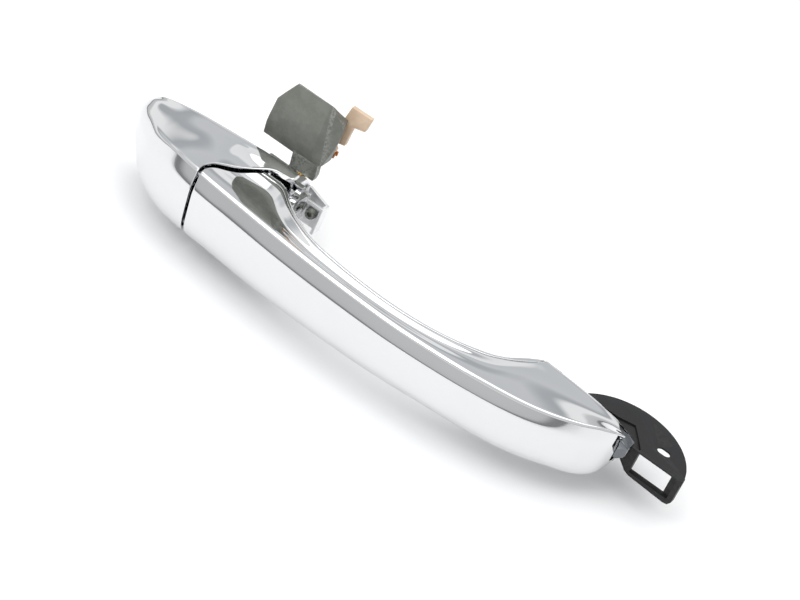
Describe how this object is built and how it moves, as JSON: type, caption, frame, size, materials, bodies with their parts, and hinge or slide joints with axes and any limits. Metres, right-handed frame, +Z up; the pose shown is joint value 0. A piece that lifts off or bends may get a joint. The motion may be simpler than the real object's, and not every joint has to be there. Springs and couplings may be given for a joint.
{
  "type": "car door handle",
  "caption": "Chrome pull-strap car door handle: fixed end cap, swinging strap on a hinge horn, and a bell crank with crash counterweight.",
  "frame": {"origin": "on the rear gasket's back face, which lies on the door skin, in the middle of the end cap's height and 106 mm behind the middle of the strap", "axes": "+X along the strap towards the hinge horn, +Y into the door, +Z up"},
  "size_m": [0.2836, 0.0748, 0.0633],
  "materials": {
    "chrome": "bright plated, mirror",
    "dark_chrome": "smoky plated",
    "black_nylon": "fine moulded grain",
    "core_nylon": "glass-filled, dull",
    "zinc": "die cast, satin",
    "beige_acetal": "moulded, satin",
    "bush_acetal": "natural acetal",
    "steel": "zinc plated",
    "yellow_steel": "yellow passivated",
    "copper": "copper-coloured spring strip",
    "brass": "turned and knurled",
    "rubber": "dull"
  },
  "bodies": {
    "root": {"end_cap_shell": "chrome", "end_cap_base": "chrome", "rear_gasket": "rubber", "cap_screw_insert": "brass", "cap_screw": "steel", "crank_pin": "steel", "crank_pin_clip": "steel", "return_spring": "yellow_steel", "strap_bumper": "rubber"},
    "strap": {"grip_outer_cover": "chrome", "grip_inner_cover": "chrome", "grip_core": "core_nylon", "pull_leg": "chrome", "leg_stop_bolt": "zinc", "hinge_leg": "dark_chrome", "hinge_horn": "black_nylon", "foot_pad": "rubber", "leg_screw_1": "steel", "leg_screw_2": "steel", "foot_screw_1": "steel", "foot_screw_2": "steel"},
    "crank": {"bell_crank": "zinc", "crank_bush_left": "bush_acetal", "crank_bush_right": "bush_acetal", "drive_stud": "steel", "rod_lever": "beige_acetal", "lever_clip": "copper"}
  },
  "joints": [
    {"name": "strap_swing", "type": "hinge", "parent": "root", "child": "strap", "pos_m": [0.215, -0.004, 0], "axis": [0, 0, 1], "range_deg": [0, 4.4], "stiffness_Nm_per_rad": 6, "springref_deg": -2.86},
    {"name": "crank_turn", "type": "hinge", "parent": "root", "child": "crank", "pos_m": [0.026, 0.012, 0.002], "axis": [1, 0, 0], "range_deg": [-61.6, 0]}
  ],
  "couplings": [
    {"joint": "crank_turn", "follows": "strap_swing", "ratio": -14}
  ]
}
